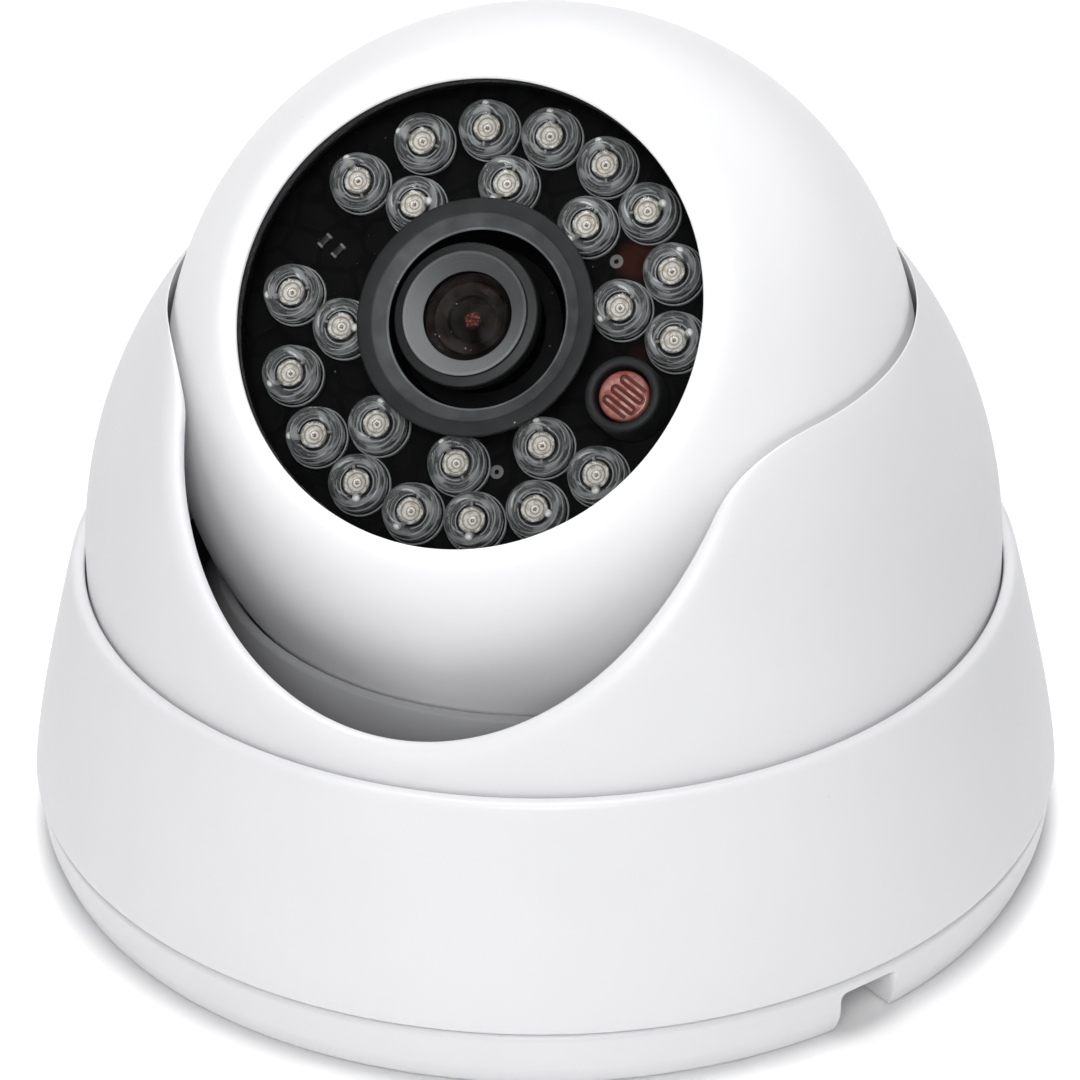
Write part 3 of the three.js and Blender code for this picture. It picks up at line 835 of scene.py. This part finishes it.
def sphere_radius(r, z):
    """A sphere about the cover's middle, as a radius at a height. Below its middle it's a cylinder."""
    return sqrt(r**2 - (z - COVER_Z) ** 2) if z > COVER_Z else r


def ease(value, low, high):
    """0 up to low, 1 from high on, and a smooth step between them."""
    t = min(max((value - low) / (high - low), 0.0), 1.0)
    return t * t * (3 - 2 * t)


def inner_radius(z, angle):
    """The cover's inside: a thin wall round the opening, and the ball's socket at the sides and back."""
    plain = sphere_radius(COVER_R - COVER_WALL, z)
    socket = sqrt(max(SOCKET_R**2 - (z - PIVOT_Z) ** 2, 0.0))
    from_front = acos(min(max(-sin(angle), -1.0), 1.0))
    thick = ease(z, 35.0, 41.5) * ease(from_front, radians(46), radians(72))
    thin = plain
    if z > PIVOT_Z:
        soft = 0.25
        thin = (plain + socket + sqrt((plain - socket) ** 2 + soft**2)) / 2
    return thin * (1 - thick) + socket * thick


def conic(a, b, c, weight, steps):
    """An arc from a to c that leaves a and meets c along the lines to b."""
    points = []
    for k in range(steps + 1):
        t = k / steps
        wa, wb, wc = (1 - t) ** 2, 2 * weight * t * (1 - t), t * t
        points.append((a * wa + b * wb + c * wc) / (wa + wb + wc))
    return points


def cover_section(edge, ahead, foot_angle):
    """One closed section of the cover's wall, through a point of the opening's edge."""
    point, run = edge
    middle = Vector((0, 0, COVER_Z))
    outward = (point - middle).normalized()
    away = ahead.cross(outward).normalized()
    width = face_width(point, run)
    turn = 2.3 / COVER_R
    on_sphere = middle + (outward * cos(turn) + away * sin(turn)) * COVER_R
    inner_edge = point + run * width
    below = dropped(inner_edge, away, 0.6)
    outer_lip = conic(on_sphere, point, point + run * min(1.9, width * 0.62), 0.72, 9)
    inner_lip = conic(inner_edge - run * min(0.45, width * 0.25), inner_edge, below, 0.75, 4)
    return outer_rows(on_sphere, foot_angle) + outer_lip + inner_lip + inner_rows(below, foot_angle)


def face_width(point, run):
    """How far the cover's inside is from a point of the edge, along run."""
    inside_r = inner_radius(point.z, atan2(point.y, point.x))
    b = point.x * run.x + point.y * run.y
    c = point.x**2 + point.y**2 - inside_r**2
    flat = run.x**2 + run.y**2
    root = sqrt(max(b * b - flat * c, 0.0))
    return max((-b - root) / flat, 0.25)


def dropped(point, away, length):
    """A point moved along the inner face, away from the opening."""
    moved = point + away * length
    r = inner_radius(moved.z, atan2(moved.y, moved.x))
    flat = Vector((moved.x, moved.y, 0)).normalized() * r
    return Vector((flat.x, flat.y, moved.z))


def round_axis(radius, angle, z):
    return Vector((radius * cos(angle), radius * sin(angle), z))


def wrapped(angle):
    """The same angle between -pi and pi."""
    return (angle + pi) % (2 * pi) - pi


def outer_rows(top, foot_angle):
    """Up the outside, from the foot of the flange to the lip."""
    angle = atan2(top.y, top.x)
    shift = wrapped(foot_angle - angle)
    edge, corner, rows, wall_low = 0.3, 0.25, 26, 24.0
    flange_top = FLANGE_LOW + 1.8
    section = [round_axis(r, angle + shift, z) for r, z in (
        (FLANGE_R - edge, FLANGE_LOW), (FLANGE_R, FLANGE_LOW + edge),
        (FLANGE_R, flange_top - edge), (FLANGE_R - edge, flange_top),
        (COVER_R + corner, flange_top), (COVER_R, flange_top + corner),
    )]
    for k in range(rows):
        t = k / rows
        z = wall_low + (top.z - wall_low) * t
        section.append(round_axis(sphere_radius(COVER_R, z), angle + shift * (1 - t) ** 1.5, z))
    return section


def inner_rows(top, foot_angle):
    """Down the inside, from the lip to the foot of the flange."""
    angle = atan2(top.y, top.x)
    shift = wrapped(foot_angle - angle)
    edge, rows = 0.3, 14
    section = []
    for k in range(1, rows + 1):
        t = k / rows
        z = top.z + (FLANGE_LOW + edge - top.z) * t
        a = angle + shift * t**1.5
        section.append(round_axis(inner_radius(z, a), a, z))
    a = angle + shift
    section.append(round_axis(inner_radius(FLANGE_LOW, a) + edge, a, FLANGE_LOW))
    return section


def cover_lugs():
    """The bosses inside the cover that the ball's seat ring is screwed to."""
    return [
        block("lug", (6.6, 6.4, 6.4), (36.4, 0, 22.6), 0.5, about(angle, UPRIGHT))
        for angle in (30, 150, 270)
    ]


def pin_sockets():
    """What is cut from the cover for the ball's tilt pins and their washers."""
    washer_r, washer_end, pin_r, pin_end = 4.6, 35.0, 2.8, 36.3
    profile = [(0, 30), (washer_r, 30), (washer_r, washer_end)]
    profile += [(pin_r, washer_end), (pin_r, pin_end), (0, pin_end)]
    pivot = at(0, 0, PIVOT_Z, UPRIGHT)
    return [turned("pin_socket", profile, facing_side(side, pivot), 48) for side in (-1, 1)]


def swivel_cover():
    """The wall, in sections round the opening. Their feet are partly evened out round the flange."""
    count, lean = 440, 0.55
    edges = opening_edge(count)
    sections = []
    for i, edge in enumerate(edges):
        ahead = (edges[(i + 1) % count][0] - edges[i - 1][0]).normalized()
        even = -pi / 2 + 2 * pi * i / count
        own = atan2(edge[0].y, edge[0].x)
        sections.append(cover_section(edge, ahead, own + lean * wrapped(even - own)))
    rows = len(sections[0])
    points = [p for section in sections for p in section]
    faces = []
    for i in range(count):
        for k in range(rows):
            a, b = i * rows + k, i * rows + (k + 1) % rows
            c, d = ((i + 1) % count) * rows + (k + 1) % rows, ((i + 1) % count) * rows + k
            faces.append((a, b, c, d))
    cover = mesh_object("cover_shell", points, faces)
    combined(cover, cover_lugs(), "UNION")
    combined(cover, pin_sockets(), "DIFFERENCE")
    return finished(paint(cover, WHITE), "swivel", "white_shell", "swivel_cover")


def seat_ring():
    ring = turned("seat_ring", rounded([
        (38.0, 17.4, 0.3), (38.0, 19.0, 0.3), (32.7, 19.1, 1.5), (30.6, 23.4, 3.0),
        (29.5, 26.75, 0.4), (28.75, 26.92, 0.06), (26.0, 22.8, 0.3), (26.0, 21.6, 0.3),
        (28.4, 17.4, 0.4),
    ], 8))
    return finished(paint(ring, GREY_ACETAL), "swivel", "bearing_plastic", "ball_seat_ring")


# ---- ball ----
def ball_front_shell():
    low, collar_h, bezel_r = SPLIT_H + 0.3, 20.15, 21.4
    collar_r = sqrt(BALL_R**2 - collar_h**2)
    seat_r, seat_h = 21.9, BEZEL_H - 0.45       # the window's seat behind the bezel
    profile = arc(BALL_R, 0, low, collar_h, 60)
    profile += bezier((collar_r, collar_h), (25.1, 22.0), (22.9, BEZEL_H), (bezel_r, BEZEL_H), 18)[1:]
    profile += rounded([
        (bezel_r, BEZEL_H, 0), (WINDOW_HOLE_R, BEZEL_H, 0.28), (WINDOW_HOLE_R, seat_h, 0.05),
        (seat_r, seat_h, 0.05), (seat_r, 21.6, 0.1), (24.2, 19.6, 0),
    ], 6, closed=False)[1:]
    profile += arc(BALL_R - BALL_WALL, 0, 19.3, low, 40)
    shell = turned("ball_front", profile, BALL, 256)
    pins = [
        washer("pin", 0, 2.5, 32.0, 36.0, (0, 0, 0.4, 0), 4, facing_side(side), 48)
        for side in (-1, 1)
    ]
    combined(shell, pins, "UNION")
    return finished(paint(settled(shell), LIT_BALL_WHITE), "ball", "white_shell", "ball_front_shell")


def ball_rear_shell():
    inner, lead_hole_r, boss_r = BALL_R - BALL_WALL, 4.2, 26.5
    ends = [-sqrt(r * r - lead_hole_r**2) for r in (inner, BALL_R)]
    profile = arc(inner, 0, ends[0], SPLIT_H, 30) + arc(BALL_R, 0, SPLIT_H, ends[1], 40)
    shell = turned("ball_rear", profile, BALL)
    well = [(0, -32), (2.9, -32), (2.4, -21), (2.4, -15.5), (0, -15.5)]
    wells = [
        turned("screw_well", well, at(boss_r, matrix=about(angle)), 32)
        for angle in (30, 150, 270)
    ]
    combined(shell, wells, "DIFFERENCE")
    return finished(paint(settled(shell), LIT_BALL_WHITE), "ball", "white_shell", "ball_rear_shell")


def window():
    pane = washer("window_pane", 0, WINDOW_R, WINDOW_LOW, WINDOW_HIGH, (0, 0.12, 0.12, 0), 3)
    return finished(paint(pane, PANE), "ball", "window_glass", "window")


def gasket():
    outer, low, _ = span("window_gasket", BALL)
    ring = washer("gasket", 20.4, outer, low, WINDOW_LOW - 0.03, (0.2, 0.2, 0.1, 0.05), 3)
    return finished(paint(ring, GASKET), "ball", "black_rubber", "window_gasket")


# ---- lamp board ----
def plated_hole(x, y):
    """A tinned eyelet round a small hole in the board."""
    spot = at(x, y, BOARD_FACE)
    return paint(washer("eyelet", 0.21, 0.6, -0.4, 0.05, (0, 0, 0.03, 0.03), 3, spot, 32), DULL_TIN)


def small_part(x, y, angle):
    """A chip with a tinned block at each end."""
    spot = about(angle, at(x, y, BOARD_FACE + 0.2))
    bevel = 0.08
    ends = [
        paint(block("chip_end", (0.26, 0.62, 0.37), (side * 0.55, 0, 0), bevel, spot), DULL_TIN)
        for side in (-1, 1)
    ]
    return joined(paint(block("chip", (0.9, 0.6, 0.35), (0, 0, 0), bevel, spot), CHIP_BODY), ends)


def lamp_board():
    screw_circle, bore_r, bevel = 22.7, 8.0, 0.08
    board = washer("lamp_board", bore_r, BOARD_R, BOARD_LOW, BOARD_FACE, (bevel,) * 4, 3)
    drills = [
        washer("drill", 0, 1.0, 10, 20, (0,) * 4, 1, at(screw_circle, matrix=about(angle)), 32)
        for angle in (90, 210, 330)
    ]
    combined(board, drills, "DIFFERENCE")
    paint(board, BLACK_MASK)
    extras = [plated_hole(10.1, 7.5), plated_hole(3.7, -12.1)]
    extras += [small_part(-15.9, 5.3, 55), small_part(-14.5, 4.6, 55)]
    return finished(joined(board, extras), "ball", "led_board_mask", "led_board")


# ---- infrared lamps ----
def lamp_body():
    dome_steps = 14
    profile = rounded([
        (0, 0, 0), (FLANGE, 0, 0.12), (FLANGE, 0.7, 0.18), (BODY, 0.78, 0.08), (BODY, DOME_H, 0),
    ], 3, False)
    profile += [
        (BODY * cos(a), DOME_H + BODY * sin(a))
        for a in (pi / 2 * k / dome_steps for k in range(1, dome_steps))
    ]
    profile.append((0, LAMP_H))
    return paint(turned("lamp_shape", profile, UPRIGHT, 48), EPOXY)


def wire_arc(radius, height, thickness, start, end):
    """A thin round wire bent to part of a circle about the lamp's axis, from one angle to another."""
    steps = max(4, int((end - start) / 9))
    angles = [radians(start + (end - start) * k / steps) for k in range(steps + 1)]
    path = [(radius * cos(a), radius * sin(a), height) for a in angles]
    return paint(swept("wire_arc", path, thickness, sides=6), FRAME_IMAGE)


def lamp_inside():
    """The reflector cup, its die, its post and the lead frame, at the size that the lens shows them."""
    cup_h = DOME_H + 0.2
    cup = turned("lamp_cup", rounded([
        (0, cup_h - 0.34, 0), (0.5, cup_h - 0.34, 0.1), (0.98, cup_h, 0.04), (1.2, cup_h, 0.05),
        (1.05, cup_h - 0.9, 0.2), (0, cup_h - 0.9, 0),
    ], 3, False), UPRIGHT, 40)
    die = block("lamp_die", (0.3, 0.3, 0.16), (0, 0, cup_h - 0.3), 0.03)
    neck_path = [(0.9, 0, cup_h - 0.12), (1.3, 0.01, cup_h + 0.2), (1.75, 0.02, cup_h + 0.9)]
    neck = swept("lamp_neck", neck_path, 0.26, squash=0.6)
    # A white dot at the dome's surface, near the post's end, is a painted glint.
    lean, glint_r = radians(49), BODY - 0.2
    glint_dot = turned("lamp_painted_glint", [
        (0, -0.36), (0.2, -0.3), (0.34, -0.12), (0.36, 0.06), (0.28, 0.22), (0.12, 0.31), (0, 0.33),
    ], at(glint_r * sin(lean), 0.02, DOME_H + glint_r * cos(lean), UPRIGHT), 20)
    tab = block("lamp_tab", (0.42, 0.24, 0.2), (-1.42, 0.06, cup_h - 0.14), 0.05)
    pieces = [paint(cup, CUP), paint(die, DIE), paint(neck, CUP), paint(glint_dot, GLINT), paint(tab, CUP)]
    arcs_h = cup_h - 0.3
    pieces += [wire_arc(radius, arcs_h, thickness, start, end) for radius, thickness, start, end in (
        (1.46, 0.05, 25, 165), (1.5, 0.045, 200, 335), (1.78, 0.07, 60, 210),
        (1.84, 0.05, 245, 340), (2.06, 0.05, 20, 140), (2.06, 0.045, 160, 300),
    )]
    # Painted highlights: thin bright rings at the edge of the body and at the foot.
    outlines = [wire_arc(BODY, DOME_H, 0.05, 0, 359), wire_arc(FLANGE - 0.02, 0.6, 0.06, 0, 359)]
    return pieces + outlines


def lamps():
    """All lamps share one mesh. Each is turned, with its post to the outside, give or take some degrees."""
    first = joined(lamp_body(), lamp_inside())
    shape = first.data
    between_circles = 15.0
    for number, node in enumerate(LAMPS):
        x, y = place_of(node)
        angle = degrees(atan2(y, x)) + 40 * sin(number * 2.4) + 14
        if hypot(x, y) < between_circles:
            angle += 180
        lamp = linked(f"lamp_{number + 1:02d}", shape)
        lamp.matrix_world = about(angle, at(x, y, LAMP_BASE))
        finished(lamp, "ball", "led_epoxy", node)
    bpy.data.objects.remove(first)


# ---- light sensor ----
def light_sensor():
    """The photocell with its winding track, and its sleeve."""
    spot = at(*place_of("light_sensor"))
    low, high = span("light_sensor", BALL)[1:]
    cell = washer("photocell", 0, 2.2, low, high, (0, 0.1, 0.3, 0), 5, spot, SMALL_ROUND)
    runs, pitch, bend_steps, face_r, longest = 6, 0.56, 5, 1.75, 1.15
    line = []
    for k in range(runs):
        across = (k - (runs - 1) / 2) * pitch
        reach = min(sqrt(max(face_r**2 - across**2, 0.3)), longest)
        way = 1 if k % 2 else -1
        line += [(across, -way * reach), (across, way * reach)]
        if k < runs - 1:
            line += [
                (across + pitch / 2 * (1 - cos(a)), way * (reach + pitch / 2 * sin(a)))
                for a in (pi * i / bend_steps for i in range(1, bend_steps))
            ]
    path = [(x, y + 0.25, high + 0.01) for x, y in line]
    track = swept("photocell_track", path, 0.17, about(-118, spot), 8, 0.3)
    joined(paint(cell, CELL_FACE), [paint(track, CELL_TRACK)])
    finished(cell, "ball", "light_sensor_cell", "light_sensor")
    low, high = span("light_sensor_sleeve", BALL)[1:]
    fillets = (0.1, 0.1, 0.4, 0.3)
    sleeve = washer("photocell_sleeve", 2.45, 3.3, low, high, fillets, 6, spot, SMALL_ROUND)
    finished(paint(sleeve, RUBBER), "ball", "black_rubber", "light_sensor_sleeve")


# ---- lens ----
def recoloured(obj, material, low_r, high_r, above):
    """Gives a turned piece's faces between two radii, and above a height, another material."""
    obj.data.materials.append(material)
    for face in obj.data.polygons:
        r, h = hypot(face.center.x, face.center.y) / MM, face.center.z / MM
        if low_r < r < high_r and h > above:
            face.material_index = len(obj.data.materials) - 1


def lens_hood():
    top = span("lens_hood", BALL)[2]
    bore_r, neck_r, ridge_r, lip_h = 7.8, 9.2, 9.05, top - 0.8
    hood = turned("hood", rounded([
        (7.6, LAMP_BASE, 0.2), (neck_r, LAMP_BASE, 0.2), (neck_r, 21.0, 0.6), (9.5, 21.8, 0.6),
        (10.4, 22.9, 0.3), (10.45, top, 0.3), (ridge_r + 0.12, top, 0.05), (ridge_r, top - 0.12, 0.03),
        (bore_r + 0.2, lip_h, 0.1), (bore_r + 0.1, lip_h, 0.03), (bore_r, lip_h - 0.1, 0.03),
        (bore_r, lip_h - 0.4, 0.1), (7.9, 20.4, 0.2),
    ], 4), at(*place_of("lens_hood")), 128)
    paint(hood, HOOD_RUBBER)
    # Painted shade: the bore's wall is near-black, for the shadow down in the bore.
    recoloured(hood, GASKET, 7.5, 8.1, LAMP_BASE + 0.5)
    # Painted light: the sloping band round the bore is lighter, where the slope catches the light.
    recoloured(hood, HOOD_BAND, bore_r + 0.15, ridge_r - 0.04, lip_h - 0.05)
    # Painted highlight: a lighter line along the bore's edge.
    recoloured(hood, HOOD_EDGE_HIGHLIGHT, bore_r - 0.02, bore_r + 0.15, lip_h - 0.15)
    # Painted highlight: a faint lighter line along the ridge.
    recoloured(hood, HOOD_RIDGE, ridge_r - 0.04, ridge_r + 0.1, top - 0.15)
    return finished(hood, "ball", "black_rubber", "lens_hood")


def lens_barrel():
    """The barrel with the inner lens in its throat, and the front glass."""
    spot = at(*place_of("lens_barrel"))
    low, top = span("lens_barrel", BALL)[1:]
    seat_r, throat_r, thread_r, flange_r, rim_r = 3.9, 3.2, 5.4, 6.35, 5.47
    barrel = turned("barrel", rounded([
        (throat_r, low, 0.1), (thread_r, low, 0.1), (thread_r, 20.7, 0.1), (flange_r, 20.9, 0.1),
        (flange_r, top - 0.55, 0.2), (5.5, top - 0.45, 0.04), (5.45, top, 0.12), (5.2, top - 0.04, 0.1),
        (seat_r + 0.08, top - 1.0, 0.08), (seat_r, top - 1.1, 0.04), (seat_r, 20.9, 0.05),
        (throat_r, 20.3, 0.1),
    ], 4), spot, 128)
    # Painted shade: the barrel is near-black wherever it is not recoloured below, so its side wall down in
    # the hood's bore reads as shadow.
    paint(barrel, GASKET)
    recoloured(barrel, BARREL_DARK, rim_r, flange_r + 0.25, top - 2.0)
    recoloured(barrel, BARREL, seat_r + 0.02, rim_r, top - 1.15)
    recoloured(barrel, INNER_LENS, 0, seat_r - 0.1, low - 1)
    inside_r, inside_low = 3.15, 17.0
    inside = turned("barrel_inside", rounded([
        (0, 20.0, 0), (1.9, 20.05, 0.1), (2.1, 20.35, 0.15), (2.4, 20.4, 0.1), (inside_r, 20.75, 0.05),
        (inside_r, inside_low, 0), (0, inside_low, 0),
    ], 3, False), spot, 96)
    joined(barrel, [paint(inside, INNER_LENS)])
    finished(barrel, "ball", "lens_barrel_metal", "lens_barrel")
    glass_r = 3.6
    low, high = span("lens_front_glass", BALL)[1:]
    dome = bezier((glass_r, low + 0.5), (2.7, high - 0.2), (1.2, high), (0, high), 16)
    front = turned("front_glass", [(0, low), (glass_r - 0.1, low), (glass_r, low + 0.1), *dome], spot, 96)
    return finished(paint(front, LENS_GLASS), "ball", "lens_glass", "lens_front_glass")


# ---- pieces whose CAD shape stays ----
def carried_over():
    looks = {
        "pan_friction_ring": RUBBER, "tilt_washer_left": RUBBER, "tilt_washer_right": RUBBER,
        "lens_holder": BLACK_PLASTIC, "sensor_board": GREEN_MASK, "image_sensor": CHIP_GLASS,
        "board_connector": NYLON, "board_link_lead": RUBBER,
    }
    for name in frame["nodes"]:
        if name.startswith(("seat_screw", "board_screw", "shell_screw", "standoff")):
            looks[name] = STEEL
    for name, material in looks.items():
        paint(frame["nodes"][name], material)


# ---- stage, light and camera ----
def stage():
    """A white floor."""
    s = Shader("studio_floor")
    floor_look = s.principled({
        "Base Color": s.mix_colour(s.noise(s.place, 0.01, 2.0), (0.95, 0.95, 0.953), (0.965, 0.965, 0.968)),
        "Roughness": 0.8,
    })
    reach, height = 3000, -0.2
    corners = [(x * reach, y * reach, height) for x, y in ((-1, -1), (1, -1), (1, 1), (-1, 1))]
    paint(mesh_object("floor", corners, [(0, 1, 2, 3)]), floor_look)


def direction(azimuth, elevation):
    """Towards a place on the sky. Azimuth 0 is the part's front, and it grows towards +X."""
    a, e = radians(azimuth), radians(elevation)
    return Vector((sin(a) * cos(e), -cos(a) * cos(e), sin(e)))


def aimed(obj, target, back, distance):
    """Puts a light or a camera at a distance from its target, looking at it."""
    obj.location = target + back * distance
    obj.rotation_mode = "QUATERNION"
    obj.rotation_quaternion = back.to_track_quat("Z", "Y")


def area_light(name, azimuth, elevation, power):
    light = bpy.data.lights.new(name, "AREA")
    light.shape = "DISK"
    light.size = 0.6
    light.energy = power
    aimed(linked(name, light), Vector((0, 0, 0.03)), direction(azimuth, elevation), 1.3)


def studio():
    """Soft light all round, with a dark card where the window would mirror it to the camera."""
    s = Shader("studio", world=True)
    bpy.context.scene.world = s.look
    toward_card = s.vector("DOT_PRODUCT", s.place, direction(-25, 46.6), output="Value")
    card_edge, card_middle = cos(radians(34)), cos(radians(20))
    open_sky = s.between(toward_card, card_edge, card_middle, 1.0, 0.03, True)
    s.surface(s.add("Background", {
        "Color": s.mix_colour(open_sky, (0, 0, 0), (0.96, 0.965, 1.0)),
        "Strength": 0.08,
    }))
    for name, azimuth, elevation, power in (
        ("top", 0, 88, 9.8), ("key", 17, 39, 6.4), ("beside_camera", 21, 28, 2.6),
        ("back", 198, 60, 6.8), ("low_front", -15, 12, 1.6),
    ):
        area_light(name, azimuth, elevation, power)
    bpy.context.scene.view_settings.view_transform = "Standard"


def camera():
    """The photograph's view: from the front's right, above, with a long lens."""
    azimuth, elevation, roll, distance = 19.6, 30.51, -0.466, 0.5173
    target_side, target_h = -0.35, 27.5
    data = bpy.data.cameras.new("camera")
    data.sensor_width = 36
    data.lens = 191.7
    view = linked("camera", data)
    bpy.context.scene.camera = view
    back = direction(azimuth, elevation)
    side = Vector((0, 0, 1)).cross(back).normalized()
    aimed(view, side * target_side * MM + Vector((0, 0, target_h * MM)), back, distance)
    turn = Matrix.Rotation(radians(roll), 3, "Z").to_quaternion()
    view.rotation_quaternion = view.rotation_quaternion @ turn


for build in (
    camera, stage, studio, base_plate, skirt_cover, grommet, swivel_cover, seat_ring,
    ball_front_shell, ball_rear_shell, window, gasket, lamp_board, lamps, light_sensor,
    lens_hood, lens_barrel, carried_over,
):
    build()
